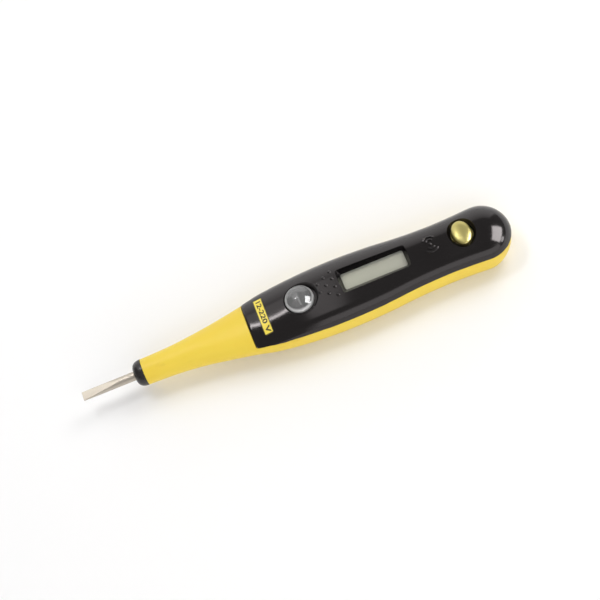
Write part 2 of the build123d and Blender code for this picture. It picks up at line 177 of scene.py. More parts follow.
# %% Stations and sections
grip_half, top_rise, bottom_drop = 10.8 * MM, 7.8 * MM, 8.5 * MM
nose_radius = 4.1 * MM
nose_top_share, nose_bottom_share = 0.25, 0.6   # of what the nose grows at its sides
tail_length = 9.0 * MM
tail_reach = 3.5                                # a pushed-out skin goes this much further at the tail
round_quarter, full_quarter = 0.552, 0.85
nose_length = cover_x - nose_x
to_lens, to_display, to_touch = lens_x - cover_x, display_x - lens_x, touch_x - display_x
tail_x = end_x - tail_length


def nose_station(along, grow):
    return (nose_x + along * nose_length, nose_radius + grow, nose_radius + nose_top_share * grow,
            nose_radius + nose_bottom_share * grow, round_quarter)


def grip_station(x, wide, rise, drop, fullness):
    return (x, wide * grip_half, rise * top_rise, drop * bottom_drop, fullness)


stations = [
    nose_station(0.00, 0.00 * MM),
    nose_station(0.27, 0.35 * MM),
    nose_station(0.50, 1.15 * MM),
    grip_station(nose_x + 0.74 * nose_length, 0.610, 0.545, 0.610, 0.64),
    grip_station(cover_x, 0.765, 0.575, 0.690, 0.71),
    grip_station(cover_x + 0.36 * to_lens, 0.880, 0.690, 0.800, 0.78),
    grip_station(lens_x, 0.965, 0.925, 0.955, 0.83),
    grip_station(lens_x + 0.50 * to_display, 1.000, 1.000, 1.000, full_quarter),
    grip_station(display_x, 0.960, 0.975, 1.000, full_quarter),
    grip_station(display_x + 0.38 * to_touch, 0.870, 0.940, 1.000, full_quarter),
    grip_station(display_x + 0.72 * to_touch, 0.835, 0.925, 1.000, full_quarter),
    grip_station(touch_x, 0.855, 0.940, 1.000, full_quarter),
    grip_station(tail_x, 0.885, 0.950, 1.000, full_quarter),
]


def slope(index, column):
    """Slope of one column of the stations at a station, from its two neighbours."""
    before, after = stations[max(index - 1, 0)], stations[min(index + 1, len(stations) - 1)]
    if index == len(stations) - 1:
        return 0.0
    return (after[column] - before[column]) / (after[0] - before[0])


def girth(x):
    """Half width, rise, drop and fullness of the body at x."""
    if x >= tail_x:
        step = min((x - tail_x) / tail_length, 1.0)
        shrink = math.sqrt(max(1.0 - step * step, 0.0))
        wide, rise, drop, fullness = stations[-1][1:]
        fullness = round_quarter + (fullness - round_quarter) * (1 - step)
        return (wide * shrink, rise * shrink, drop * shrink, fullness)
    index = max(i for i in range(len(stations) - 1) if stations[i][0] <= x + 1e-9)
    x0, x1 = stations[index][0], stations[index + 1][0]
    t, span = (x - x0) / (x1 - x0), x1 - x0
    result = []
    for column in range(1, 5):
        a, b = stations[index][column], stations[index + 1][column]
        m0, m1 = slope(index, column) * span, slope(index + 1, column) * span
        result.append((2 * t**3 - 3 * t**2 + 1) * a + (t**3 - 2 * t**2 + t) * m0
                      + (3 * t**2 - 2 * t**3) * b + (t**3 - t**2) * m1)
    return result


def skin_point(x, turn, side=0.0, top=0.0):
    """A point of the skin; turn goes once round from +Y over the crown. side and top push it outwards."""
    wide, rise, drop, fullness = girth(x)
    x += tail_reach * side * max((x - tail_x) / tail_length, 0.0)
    shrink = wide / stations[-1][1] if x >= tail_x else 1.0
    wide, rise = wide + side * shrink, rise + top * shrink
    quarter, t = int(turn * 4) % 4, (turn * 4) % 1.0
    up = (rise, rise, -drop, -drop)[quarter]
    k = round_quarter if quarter < 2 else fullness
    across = (wide, -wide, -wide, wide)[quarter]
    flat, tall = (across, 0.0), (0.0, up)
    first, last = (flat, tall) if quarter % 2 == 0 else (tall, flat)
    ends = [first, (first[0] + k * (across - first[0]), first[1] + k * (up - first[1])),
            (last[0] + k * (across - last[0]), last[1] + k * (up - last[1])), last]
    weights = ((1 - t) ** 3, 3 * t * (1 - t) ** 2, 3 * t * t * (1 - t), t**3)
    y = sum(w * p[0] for w, p in zip(weights, ends))
    z = sum(w * p[1] for w, p in zip(weights, ends))
    return Vector((x, y, max(axis_z + z, 0.0)))


def crown_height(x, y, side=0.0, top=0.0):
    """Height of the cover above a point of the plan, found by halving."""
    low, high = 0.0, 0.5
    for _ in range(40):
        turn = (low + high) / 2
        if skin_point(x, turn, side, top).y > y:
            low = turn
        else:
            high = turn
    return skin_point(x, low, side, top).z


print("half width at the display:", round(girth(display_x)[0] / MM, 2), "mm")

# %% [markdown]
# ## Skinning the form
# A form like this could be a lofted surface, a subdivided box or a row of extruded rings. Extruded rings
# suit it best: the ring is extruded to each new place along the body and its vertices are set on the skin
# there. Each vertex carries its number round the ring as an attribute, which an extrusion copies.

# %% Extrude rings along the body
ring_count = 96
body_step = 1.1 * MM
tail_steps = 14
last_turn = 88.0    # degrees round the tail at the last ring


def ring_places(first_x):
    """Where the rings go: evenly along the body, then ever closer round the tail."""
    count = math.ceil((tail_x - first_x) / body_step)
    places = [first_x + (tail_x - first_x) * i / count for i in range(count)]
    turns = [math.radians(last_turn * i / tail_steps) for i in range(tail_steps + 1)]
    return places + [tail_x + tail_length * math.sin(turn) for turn in turns]


def skin(name, first_x, side=0.0, top=0.0):
    """An open tube that follows the body's form from first_x to a closed tail."""
    nothing_selected()
    bpy.ops.mesh.primitive_circle_add(vertices=ring_count, radius=nose_radius, location=(first_x, 0, axis_z),
                                      rotation=(0, math.pi / 2, 0))
    piece = start(name)
    open_mesh(piece)
    mesh = bmesh.from_edit_mesh(piece.data)
    number = mesh.verts.layers.int.new("number")
    for index, vertex in enumerate(mesh.verts):
        vertex[number] = index
        vertex.co = skin_point(first_x, index / ring_count, side, top)
    bmesh.update_edit_mesh(piece.data)
    bpy.ops.mesh.select_all(action="SELECT")
    for x in ring_places(first_x)[1:]:
        bpy.ops.mesh.extrude_region_move(TRANSFORM_OT_translate={"value": (body_step, 0, 0)})
        mesh = bmesh.from_edit_mesh(piece.data)
        number = mesh.verts.layers.int["number"]
        for vertex in mesh.verts:
            if vertex.select:
                vertex.co = skin_point(x, vertex[number] / ring_count, side, top)
        bmesh.update_edit_mesh(piece.data)
    bpy.ops.mesh.edge_face_add()
    bpy.ops.mesh.select_all(action="SELECT")
    bpy.ops.mesh.normals_make_consistent(inside=False)
    close_mesh()
    return piece


def cut_flat(piece, point, normal, drop_outer=False):
    """Bisects a mesh with a plane; with drop_outer the side the normal points to is deleted."""
    open_mesh(piece)
    bpy.ops.mesh.select_all(action="SELECT")
    bpy.ops.mesh.bisect(plane_co=point, plane_no=normal, clear_outer=drop_outer, use_fill=False)
    close_mesh()


# %% [markdown]
# ## The yellow lower shell
# On the real tester the nose and the lower half are one yellow moulding. The open skin is cut along the
# parting plane, the part above it behind the cover's front edge is deleted, and Solidify gives the rest a
# moulded wall. The bay for the cells, the screw holes and the finger notch are then cut out of it.

# %% Cutting tools
wall = 1.4 * MM
below, inside = -MM, 3 * MM     # heights that a cut through the floor of the shell runs between


def cutter_box(low, high):
    nothing_selected()
    bpy.ops.mesh.primitive_cube_add(size=1.0, location=(Vector(low) + Vector(high)) / 2,
                                    scale=Vector(high) - Vector(low))
    return start("cutter")


def cutter_post(x, z0, z1, radius, sides=48):
    nothing_selected()
    bpy.ops.mesh.primitive_cylinder_add(vertices=sides, radius=radius, depth=z1 - z0,
                                        location=(x, 0, (z0 + z1) / 2))
    return start("cutter")


print("the shells are", round(wall / MM, 2), "mm thick")

# %% Lower shell
door_low, door_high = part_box("battery_door")
door_half, door_play = 6.1 * MM, 0.15 * MM
screws_low, screws_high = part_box("case_screws")
screw_head_r, screw_play = 1.8 * MM, 0.12 * MM
notch_r, notch_ahead, notch_drop = 2.6 * MM, 0.75 * MM, 1.2 * MM


def behind_and_above(face):
    place = face.calc_center_median()
    return place.z > parting_z and place.x > cover_x


def cut_underside(shell):
    """The bay for the cells, the two screw holes and the finger notch."""
    side = door_half + door_play
    bay = cutter_box((door_low.x - door_play, -side, below), (door_high.x + door_play, side, inside))
    combine(shell, bay, "DIFFERENCE")
    for x in (screws_low.x + screw_head_r, screws_high.x - screw_head_r):
        combine(shell, cutter_post(x, below, inside, screw_head_r + screw_play), "DIFFERENCE")
    nothing_selected()
    bpy.ops.mesh.primitive_uv_sphere_add(segments=40, ring_count=20, radius=notch_r,
                                         location=(door_high.x + notch_ahead, 0, -notch_drop))
    combine(shell, start("cutter"), "DIFFERENCE")


def make_lower_shell():
    shell = skin("shell_lower", nose_x)
    cut_flat(shell, (0, 0, parting_z), (0, 0, 1))
    cut_flat(shell, (cover_x, 0, 0), (1, 0, 0))
    open_mesh(shell, "FACE")
    pick(shell, "faces", behind_and_above)
    bpy.ops.mesh.delete(type="FACE")
    close_mesh()
    apply(shell, "SOLIDIFY", thickness=wall, offset=-1, use_even_offset=True, use_rim=True)
    cut_underside(shell)
    return tidy(shell)


lower_shell = make_lower_shell()

# %% [markdown]
# ## The black top cover
# The cover is the upper half of the same form, made a little larger so that it stands proud of the yellow
# nose. Its wells are dishes turned about an upright axis. Turning a profile is what Spin does, so each
# dish starts as a short row of vertices, is spun into a solid and is then cut out of the cover.

# %% Turned cutters
cover_side, cover_top = 0.12 * MM, 0.35 * MM


def turned(name, x, profile, steps=64, stretch=1.0):
    """Spins a profile of (radius, height) pairs about the upright axis at x; stretch widens it across Y."""
    nothing_selected()
    bpy.ops.mesh.primitive_plane_add(size=MM, location=(x, 0, 0))
    piece = start(name)
    open_mesh(piece)
    bpy.ops.mesh.delete(type="VERT")
    mesh = bmesh.from_edit_mesh(piece.data)
    corners = [mesh.verts.new((x + radius, 0, height)) for radius, height in profile]
    for before, after in zip(corners, corners[1:]):
        mesh.edges.new((before, after))
    bmesh.update_edit_mesh(piece.data)
    bpy.ops.mesh.select_all(action="SELECT")
    bpy.ops.mesh.spin(steps=steps, angle=2 * math.pi, center=(x, 0, 0), axis=(0, 0, 1))
    bpy.ops.mesh.select_all(action="SELECT")
    bpy.ops.mesh.remove_doubles(threshold=0.002 * MM)
    bpy.ops.mesh.normals_make_consistent(inside=False)
    if stretch != 1.0:
        bpy.ops.transform.resize(value=(1, stretch, 1), center_override=(x, 0, 0))
    close_mesh()
    return piece


def arc(radius0, height0, radius1, height1, bulge, steps=6):
    """A shallow curve between two (radius, height) points; bulge pushes its middle down."""
    points = []
    for step in range(steps + 1):
        t = step / steps
        sag = bulge * 4 * t * (1 - t)
        points.append((radius0 + (radius1 - radius0) * t, height0 + (height1 - height0) * t - sag))
    return points


# %% Places of the two buttons
lens_flange, lens_dome = 0.7 * MM, 2.4 * MM
lens_low, lens_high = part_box("lens_button")
lens_r = (lens_high.x - lens_low.x) / 2 - lens_flange
lens_base = lens_high.z - lens_dome
touch_flange, touch_crown = 0.6 * MM, 1.4 * MM
touch_low, touch_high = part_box("touch_button")
touch_r = (touch_high.x - touch_low.x) / 2 - touch_flange
touch_stretch = ((touch_high.y - touch_low.y) / 2 - touch_flange) / touch_r
touch_base = touch_high.z - touch_crown
print("lens radius", round(lens_r / MM, 2), "mm, touch button", round(touch_r / MM, 2), "by",
      round(touch_r * touch_stretch / MM, 2), "mm")

# %% Cutter of the display recess
window_low, window_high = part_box("display_window")
window_margin = 1.0 * MM
glass_half_x = (window_high.x - window_low.x) / 2 - window_margin
glass_half_y = window_high.y - window_margin
recess_spread, recess_depth, recess_corner = 1.1 * MM, 2.2 * MM, 0.55 * MM
floor_inset, floor_play = 0.2 * MM, 0.02 * MM
near_shift = 2.0 * MM   # the wall on the near side leans out this much more


def recess_cutter():
    """A tapered block with rounded corners, wider at the top."""
    rim_z = window_high.z + 2 * recess_depth
    floor_half_y = glass_half_y - floor_inset
    block = cutter_box((display_x - glass_half_x, -floor_half_y, window_high.z - floor_play),
                       (display_x + glass_half_x, floor_half_y, rim_z))
    open_mesh(block)
    pick(block, "verts", lambda v: v.co.z > window_high.z + MM)
    grow_x = (glass_half_x + 2 * recess_spread) / glass_half_x
    grow_y = (glass_half_y + 2 * recess_spread) / glass_half_y
    bpy.ops.transform.resize(value=(grow_x, grow_y, 1), center_override=(display_x, 0, rim_z))
    pick(block, "verts", lambda v: v.co.z > window_high.z + MM and v.co.y < 0)
    bpy.ops.transform.translate(value=(0, -near_shift, 0))
    bpy.ops.mesh.select_mode(type="EDGE")
    pick(block, "edges", lambda e: abs(e.verts[0].co.z - e.verts[1].co.z) > MM)
    bpy.ops.mesh.bevel(offset=recess_corner, segments=5, affect="EDGES")
    close_mesh()
    return block


print("display opening", round(2 * glass_half_x / MM, 2), "by", round(2 * glass_half_y / MM, 2), "mm")

# %% Front edge of the cover
edge_round = 0.75 * MM      # radius of the moulded front edge
edge_drop = 4.8 * MM        # how far down from the crown it is rounded
skin_share = 0.93           # of the section's size: further out is the outer skin


def on_front_edge(edge):
    """Whether both ends of an edge lie on the outer skin at the front, near the crown."""
    wide, rise, _, _ = girth(cover_x)
    wide, rise = wide + cover_side, rise + cover_top
    lowest = skin_point(cover_x, 0.25, cover_side, cover_top).z - edge_drop
    return all(v.co.x < cover_x + 0.01 * MM and v.co.z > lowest
               and math.hypot(v.co.y / wide, (v.co.z - axis_z) / rise) > skin_share for v in edge.verts)


def round_front_edge(cover):
    open_mesh(cover, "EDGE")
    count = pick(cover, "edges", on_front_edge)
    bpy.ops.mesh.bevel(offset=edge_round, segments=5, affect="EDGES")
    close_mesh()
    print("rounded", count, "front edges")


# %% Frames and wells
window_frame, lens_frame = 0.9 * MM, 1.7 * MM       # material left round the glass and the lens
button_play = 0.1 * MM
lens_dish_drop, lens_dish_rise, lens_dish_spread = 0.8 * MM, 0.9 * MM, 1.1 * MM
lens_dish_shift = (0.30 * MM, -0.40 * MM, 0)
touch_dish_drop, touch_dish_spread = 0.55 * MM, 0.9 * MM


def add_frames(cover):
    """Solid frames under the skin, where the wells will be cut."""
    frame_low = (window_low.x - MM, -window_high.y - MM, window_low.z)
    frame_high = (window_high.x + MM, window_high.y + MM, window_high.z + window_frame)
    combine(cover, cutter_box(frame_low, frame_high), "UNION")
    combine(cover, cutter_post(lens_x, lens_low.z, lens_base - 0.9 * MM, lens_r + lens_frame, 72), "UNION")


def cut_display_well(cover):
    combine(cover, recess_cutter(), "DIFFERENCE")
    glass_room = cutter_box((window_low.x, -window_high.y, window_low.z - 5 * MM), window_high)
    combine(cover, glass_room, "DIFFERENCE")


def cut_lens_well(cover):
    """A hole for the lens, a dish round it that opens towards the near side, and room for its flange."""
    hole = lens_r + button_play
    combine(cover, cutter_post(lens_x, axis_z, lens_base, hole, 96), "DIFFERENCE")
    low_z, open_z = lens_base - lens_dish_drop, lens_base + 2.6 * MM
    dish = [(0, low_z)]
    dish += arc(hole, low_z, hole + lens_dish_spread, lens_base + lens_dish_rise, 0.22 * MM)
    dish += [(hole + 2.0 * MM, open_z), (0, open_z)]
    dish_tool = turned("cutter", lens_x, dish, 96)
    open_mesh(dish_tool)
    bpy.ops.mesh.select_all(action="SELECT")
    bpy.ops.transform.translate(value=lens_dish_shift)
    close_mesh()
    combine(cover, dish_tool, "DIFFERENCE")
    flange_room = cutter_post(lens_x, axis_z, lens_base - 1.3 * MM, lens_r + lens_flange + button_play, 72)
    combine(cover, flange_room, "DIFFERENCE")


def cut_touch_well(cover):
    slot = touch_r + button_play
    low_z, open_z = touch_base - touch_dish_drop, touch_base + 2.4 * MM
    oval = [(0, axis_z + 2 * MM), (slot, axis_z + 2 * MM), (slot, low_z)]
    oval += arc(slot + 0.1 * MM, low_z, slot + touch_dish_spread, touch_base + touch_dish_drop, 0.15 * MM)
    oval += [(slot + 1.9 * MM, open_z), (0, open_z)]
    combine(cover, turned("cutter", touch_x, oval, 96, touch_stretch), "DIFFERENCE")


# %% Cover
def make_cover():
    cover = skin("cover_top", cover_x, cover_side, cover_top)
    cut_flat(cover, (0, 0, parting_z), (0, 0, -1), drop_outer=True)
    apply(cover, "SOLIDIFY", thickness=wall, offset=-1, use_even_offset=True, use_rim=True)
    round_front_edge(cover)
    add_frames(cover)
    cut_display_well(cover)
    cut_lens_well(cover)
    cut_touch_well(cover)
    return tidy(cover)


top_cover = make_cover()

# %% [markdown]
# ## Raised dots and a relief mark
# Nine small domes between the lens and the display are there for the thumb. Each is set on the skin that
# the form function gives, in three columns, and then all are joined into one piece. The small relief
# ahead of the touch button is a dot between plain arcs, each spun from a round profile.

# %% Dots
dot_radius, dot_rise, dot_pitch = 0.68 * MM, 0.38 * MM, 2.75 * MM
dots_to_recess = 1.6 * MM


def joined(name, pieces):
    nothing_selected()
    for piece in pieces:
        piece.select_set(True)
    bpy.context.view_layer.objects.active = pieces[0]
    bpy.ops.object.join()
    pieces[0].name = pieces[0].data.name = name
    return pieces[0]


def make_dots():
    last_x = display_x - glass_half_x - recess_spread - dots_to_recess
    domes = []
    for column, count in enumerate((2, 3, 4)):
        x = last_x - dot_pitch * math.sqrt(3) / 2 * (2 - column)
        for row in range(count):
            y = dot_pitch * (row - (count - 1) / 2)
            z = crown_height(x, y, cover_side, cover_top) + dot_rise - dot_radius
            nothing_selected()
            bpy.ops.mesh.primitive_uv_sphere_add(segments=24, ring_count=14, radius=dot_radius,
                                                 location=(x, y, z))
            domes.append(start("dome"))
    return tidy(joined("cover_dots", domes), 60)


cover_dots = make_dots()

# %% Relief of a dot and plain arcs
relief_x = (display_x + glass_half_x + touch_x - touch_r) / 2 + 0.7 * MM
relief_dot_r, relief_dot_sink = 0.6 * MM, 0.25 * MM
arc_bar_r, arc_sweep, arc_lift = 0.30 * MM, math.radians(90), 0.08 * MM


def relief_arc(radius, facing):
    """A round bar bent through a right angle; facing is the way its middle points."""
    nothing_selected()
    bpy.ops.mesh.primitive_circle_add(vertices=12, radius=arc_bar_r, location=(relief_x + radius, 0, 0),
                                      rotation=(math.pi / 2, 0, 0))
    piece = start("arc")
    open_mesh(piece)
    bpy.ops.mesh.select_all(action="SELECT")
    bpy.ops.transform.rotate(value=arc_sweep / 2 - facing, orient_axis="Z", center_override=(relief_x, 0, 0))
    bpy.ops.mesh.spin(steps=18, angle=arc_sweep, center=(relief_x, 0, 0), axis=(0, 0, 1))
    bpy.ops.mesh.select_all(action="SELECT")
    bpy.ops.mesh.fill_holes(sides=12)
    close_mesh()
    return piece


def make_relief():
    nothing_selected()
    bpy.ops.mesh.primitive_uv_sphere_add(segments=24, ring_count=14, radius=relief_dot_r,
                                         location=(relief_x, 0, -relief_dot_sink))
    marks = [start("dome")]
    for radius in (1.5 * MM, 2.6 * MM):
        for facing in (0.0, math.pi):
            marks.append(relief_arc(radius, facing))
    relief = joined("cover_relief", marks)
    for vertex in relief.data.vertices:
        x, y, z = vertex.co
        vertex.co.z = z + crown_height(x, y, cover_side, cover_top) + arc_lift
    return tidy(relief, 60)


cover_relief = make_relief()

# %% [markdown]
# ## The blade
# The shank is a round bar, and two flats are ground towards the tip. A cylinder with rings along its
# length takes this well: the vertices ahead of the grind are pressed to a wedge, and the edges of the tip
# get a small bevel so that they catch the light.

# %% Blade
blade_r = 1.4 * MM
grind_length = 11.6 * MM
edge_half = 0.3 * MM        # half the thickness of the driving edge
grind_rings = 23
blade_edge_round = 0.07 * MM


def make_blade():
    back_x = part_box("nose_collar")[1].x
    length = back_x - tip_x
    nothing_selected()
    bpy.ops.mesh.primitive_cylinder_add(vertices=64, radius=blade_r, depth=length,
                                        location=(tip_x + length / 2, 0, axis_z),
                                        rotation=(0, math.pi / 2, 0))
    blade = start("blade_bar")
    for step in range(1, grind_rings + 1):
        cut_flat(blade, (tip_x + grind_length * step / grind_rings, 0, 0), (1, 0, 0))
    for vertex in blade.data.vertices:
        along = (vertex.co.x - tip_x) / grind_length
        if along < 1.0:
            half = edge_half + (blade_r - edge_half) * along
            vertex.co.z = axis_z + max(-half, min(half, vertex.co.z - axis_z))
    tidy(blade, 25)
    apply(blade, "BEVEL", width=blade_edge_round, segments=2, limit_method="ANGLE",
          angle_limit=math.radians(40))
    return tidy(blade, 25)


blade = make_blade()

# %% [markdown]
# ## The collar
# A domed black ring closes the nose around the blade. It is a turned part, so its half profile is spun
# about the blade's axis: a lead-in at the bore, the dome, a sharp rear rim and a shallow groove before
# the yellow begins.

# %% Collar
collar_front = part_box("nose_collar")[0].x
collar_r = nose_radius + 0.05 * MM
bore_r = blade_r + 0.02 * MM
plug_depth = 1.2 * MM       # how far the collar reaches into the nose
dome_steps = 14


def collar_profile():
    """Pairs of (place along the body, radius), from the bore over the dome and back."""
    dome_back = nose_x - 0.25 * MM
    profile = [(nose_x + plug_depth, bore_r), (collar_front + 0.5 * MM, bore_r)]
    for step in range(dome_steps + 1):
        turn = math.radians(8 + 82 * step / dome_steps)
        x = dome_back - (dome_back - collar_front) * math.cos(turn) ** 0.9
        profile.append((x, blade_r + (collar_r - blade_r) * math.sin(turn) ** 0.8))
    return profile + [(nose_x - 0.1 * MM, collar_r), (nose_x, nose_radius - 0.15 * MM),
                      (nose_x + plug_depth, nose_radius - 0.6 * MM), (nose_x + plug_depth, bore_r)]


def make_collar():
    nothing_selected()
    bpy.ops.mesh.primitive_plane_add(size=MM)
    collar = start("collar_ring")
    open_mesh(collar)
    bpy.ops.mesh.delete(type="VERT")
    mesh = bmesh.from_edit_mesh(collar.data)
    corners = [mesh.verts.new((x, 0, axis_z + radius)) for x, radius in collar_profile()]
    for before, after in zip(corners, corners[1:]):
        mesh.edges.new((before, after))
    bmesh.update_edit_mesh(collar.data)
    bpy.ops.mesh.select_all(action="SELECT")
    bpy.ops.mesh.spin(steps=96, angle=2 * math.pi, center=(0, 0, axis_z), axis=(1, 0, 0))
    close_mesh()
    return tidy(collar, 35)


collar = make_collar()

# %% [markdown]
# ## The clear lens and the touch button
# The lens is a thin dome on a short skirt, so both its outside and its inside are in the profile. The
# touch button is an oval brass cap, turned round and then stretched across the body.

# %% Lens
lens_wall = 0.8 * MM
lens_skirt = 1.35 * MM      # from the dome's edge down to the flange
flange_play = 0.05 * MM
lens_foot = lens_low.z + 2.05 * MM


def make_lens():
    ball = (lens_r**2 + lens_dome**2) / (2 * lens_dome)
    inner_r, inner_ball = lens_r - lens_wall, ball - lens_wall
    profile = []
    for step in range(17):
        turn = math.asin(lens_r / ball) * step / 16
        profile.append((ball * math.sin(turn), lens_high.z - ball * (1 - math.cos(turn))))
    seat, flange_r = lens_base - lens_skirt, lens_r + lens_flange - flange_play
    profile += [(lens_r, lens_base - 0.1 * MM), (lens_r, seat), (flange_r, seat), (flange_r, lens_foot),
                (inner_r, lens_foot)]
    reach = math.asin(inner_r / inner_ball)
    for step in range(13):
        turn = reach * (1 - step / 12)
        profile.append((inner_ball * math.sin(turn),
                        lens_high.z - lens_wall - inner_ball * (1 - math.cos(turn))))
    return tidy(turned("lens_dome", lens_x, profile, 72), 35)


lens = make_lens()

# %% Touch button
touch_skirt = 1.75 * MM
crown_power = 0.7       # below 1 the crown is fuller than an ellipse


def make_touch():
    profile = []
    for step in range(17):
        turn = math.radians(90 * step / 16)
        profile.append((touch_r * math.sin(turn), touch_base + touch_crown * math.cos(turn) ** crown_power))
    seat, flange_r = touch_base - touch_skirt, touch_r + touch_flange - flange_play
    profile += [(touch_r, seat), (flange_r, seat), (flange_r, touch_low.z), (0, touch_low.z)]
    return tidy(turned("touch_cap", touch_x, profile, 80, touch_stretch), 40)


touch = make_touch()

# %% [markdown]
# ## The spring under the touch button
# A small coil stands on the board and presses the button up. The Screw modifier sweeps a round section
# along a helix. When the button goes down the real coil gets shorter; here the button's travel is read from
# its joint, and the coil is not flattened with it.

# %% Spring
spring_low, spring_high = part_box("touch_spring")
spring_height = spring_high.z - spring_low.z
wire_r, coil_turns = 0.125 * MM, 3
coil_steps = 24 * coil_turns


def make_spring():
    coil_r = (spring_high.x - spring_low.x) / 2 - wire_r
    nothing_selected()
    bpy.ops.mesh.primitive_circle_add(vertices=12, radius=wire_r, location=(coil_r, 0, spring_low.z + wire_r),
                                      rotation=(math.pi / 2, 0, 0))
    spring = start("touch_coil")
    apply(spring, "SCREW", angle=2 * math.pi * coil_turns, screw_offset=spring_height - 2 * wire_r,
          steps=coil_steps, render_steps=coil_steps)
    open_mesh(spring)
    bpy.ops.mesh.select_all(action="SELECT")
    bpy.ops.mesh.fill_holes(sides=12)
    bpy.ops.mesh.select_all(action="SELECT")
    bpy.ops.transform.translate(value=(touch_x, 0, 0))
    close_mesh()
    return tidy(spring, 40)


spring = make_spring()

# %% [markdown]
# ## The label
# A thin yellow label crosses the cover behind its front edge. A flat grid is the right start for a sheet
# that bends one way: its vertices are lifted onto the cover's skin and Solidify gives it a thickness.
# A plain voltage range stands on it as flat text, turned into a mesh before it is laid on the same skin.

# %% Label and its numbers
label_low, label_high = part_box("label")
label_half_x = (label_high.x - label_low.x) / 2
label_x = middle("label").x
label_corner, label_lift, label_thick = 0.5 * MM, 0.03 * MM, 0.14 * MM
number_size, number_margin, number_lift = 2.1 * MM, 0.75 * MM, 0.185 * MM


def lay_on_cover(piece, lift):
    for vertex in piece.data.vertices:
        x, y, z = vertex.co
        vertex.co.z = crown_height(x, y, cover_side, cover_top) + lift + z


def make_label():
    nothing_selected()
    bpy.ops.mesh.primitive_grid_add(x_subdivisions=12, y_subdivisions=64, size=1.0, location=(label_x, 0, 0))
    bpy.context.object.scale = (2 * label_half_x, label_high.y - label_low.y, 1)
    label = start("label_plate")
    # the corners are rounded by drawing the ends in
    for vertex in label.data.vertices:
        over = max(abs(vertex.co.y) - (label_high.y - label_corner), 0.0)
        limit = label_half_x - label_corner + math.sqrt(max(label_corner**2 - over**2, 0.0))
        vertex.co.x = label_x + max(-limit, min(limit, vertex.co.x - label_x))
    lay_on_cover(label, label_lift)
    apply(label, "SOLIDIFY", thickness=label_thick, offset=1)
    return tidy(label, 40)


def make_numbers():
    nothing_selected()
    bpy.ops.object.text_add(rotation=(0, 0, -math.pi / 2))
    text = bpy.context.object
    text.data.body = "12-220 V"
    text.data.size = number_size
    text.data.align_x, text.data.align_y = "CENTER", "CENTER"
    text.data.extrude = 0.015 * MM
    text.data.offset = 0.05 * MM
    text.data.resolution_u = 4
    bpy.ops.object.convert(target="MESH")
    numbers = start("label_numbers")
    open_mesh(numbers)
    bpy.ops.mesh.select_all(action="SELECT")
    squeeze = 2 * (label_high.y - number_margin) / numbers.dimensions.y
    bpy.ops.transform.resize(value=(1, squeeze, 1), center_override=(0, 0, 0))
    bpy.ops.transform.translate(value=(label_x, 0, 0))
    close_mesh()
    print("the numbers were scaled along the label by", round(squeeze, 2))
    lay_on_cover(numbers, number_lift)
    return tidy(numbers, 30)


label = make_label()
numbers = make_numbers()

# %% [markdown]
# ## A shorthand for shader maths
# A procedural finish is arithmetic on patterns. Typing `0.4 + 0.1 * noise` is easier to read than four
# Math nodes, so a small class wraps a socket and its operators add the nodes. Everything else goes
# through one method that takes a node's type, its settings and its inputs.

# %% The Signal and Finish classes


class Signal:
    def __init__(self, finish, socket):
        self.finish, self.socket = finish, socket

    def maths(self, operation, first, second, clamp=False):
        settings = {"operation": operation, "use_clamp": clamp}
        return self.finish.node("ShaderNodeMath", settings, {0: first, 1: second})

    def __add__(self, other):
        return self.maths("ADD", self, other)

    __radd__ = __add__

    def __sub__(self, other):
        return self.maths("SUBTRACT", self, other)

    def __rsub__(self, other):
        return self.maths("SUBTRACT", other, self)

    def __mul__(self, other):
        return self.maths("MULTIPLY", self, other)

    __rmul__ = __mul__

    def __truediv__(self, other):
        return self.maths("DIVIDE", self, other)

    def __gt__(self, other):
        return self.maths("GREATER_THAN", self, other)

    def __abs__(self):
        return self.finish.node("ShaderNodeMath", {"operation": "ABSOLUTE"}, {0: self})

    def clamped(self):
        return self.maths("ADD", self, 0.0, clamp=True)


class Finish:
    """One material. Constants go on the shader's own sockets; patterns are fed to a few of them."""

    def __init__(self, name, **constants):
        self.material = bpy.data.materials.new(name)
        self.material.use_nodes = True
        self.tree = self.material.node_tree
        self.shader = self.tree.nodes["Principled BSDF"]
        for socket, value in constants.items():
            self.shader.inputs[socket.replace("_", " ")].default_value = value
        self.place = self.node("ShaderNodeTexCoord", {}, {}, "Object")

    def node(self, kind, settings, inputs, output=0):
        made = self.tree.nodes.new(kind)
        for key, value in settings.items():
            setattr(made, key, value)
        for key, value in inputs.items():
            if isinstance(value, Signal):
                self.tree.links.new(value.socket, made.inputs[key])
            else:
                made.inputs[key].default_value = value
        return Signal(self, made.outputs[output])

    def stretched(self, scale):
        return self.node("ShaderNodeMapping", {}, {"Vector": self.place, "Scale": scale})

    def noise(self, scale, detail=3.0, stretch=None, roughness=0.5):
        vector = self.place if stretch is None else self.stretched(stretch)
        return self.node("ShaderNodeTexNoise", {}, {"Vector": vector, "Scale": scale, "Detail": detail,
                                                    "Roughness": roughness})

    def axes(self):
        split = self.tree.nodes.new("ShaderNodeSeparateXYZ")
        self.tree.links.new(self.place.socket, split.inputs[0])
        return [Signal(self, socket) for socket in split.outputs]

    def blend(self, amount, first, second):
        """Colour from first to second as amount goes from 0 to 1."""
        return self.node("ShaderNodeMix", {"data_type": "RGBA"}, {0: amount, 6: first, 7: second}, 2)

    def feed(self, **signals):
        for socket, signal in signals.items():
            self.tree.links.new(signal.socket, self.shader.inputs[socket.replace("_", " ")])
        return self

    def bump(self, height, strength, distance):
        inputs = {"Height": height, "Strength": strength, "Distance": distance}
        return self.feed(Normal=self.node("ShaderNodeBump", {}, inputs))


print("a Signal takes + - * / > and abs()")

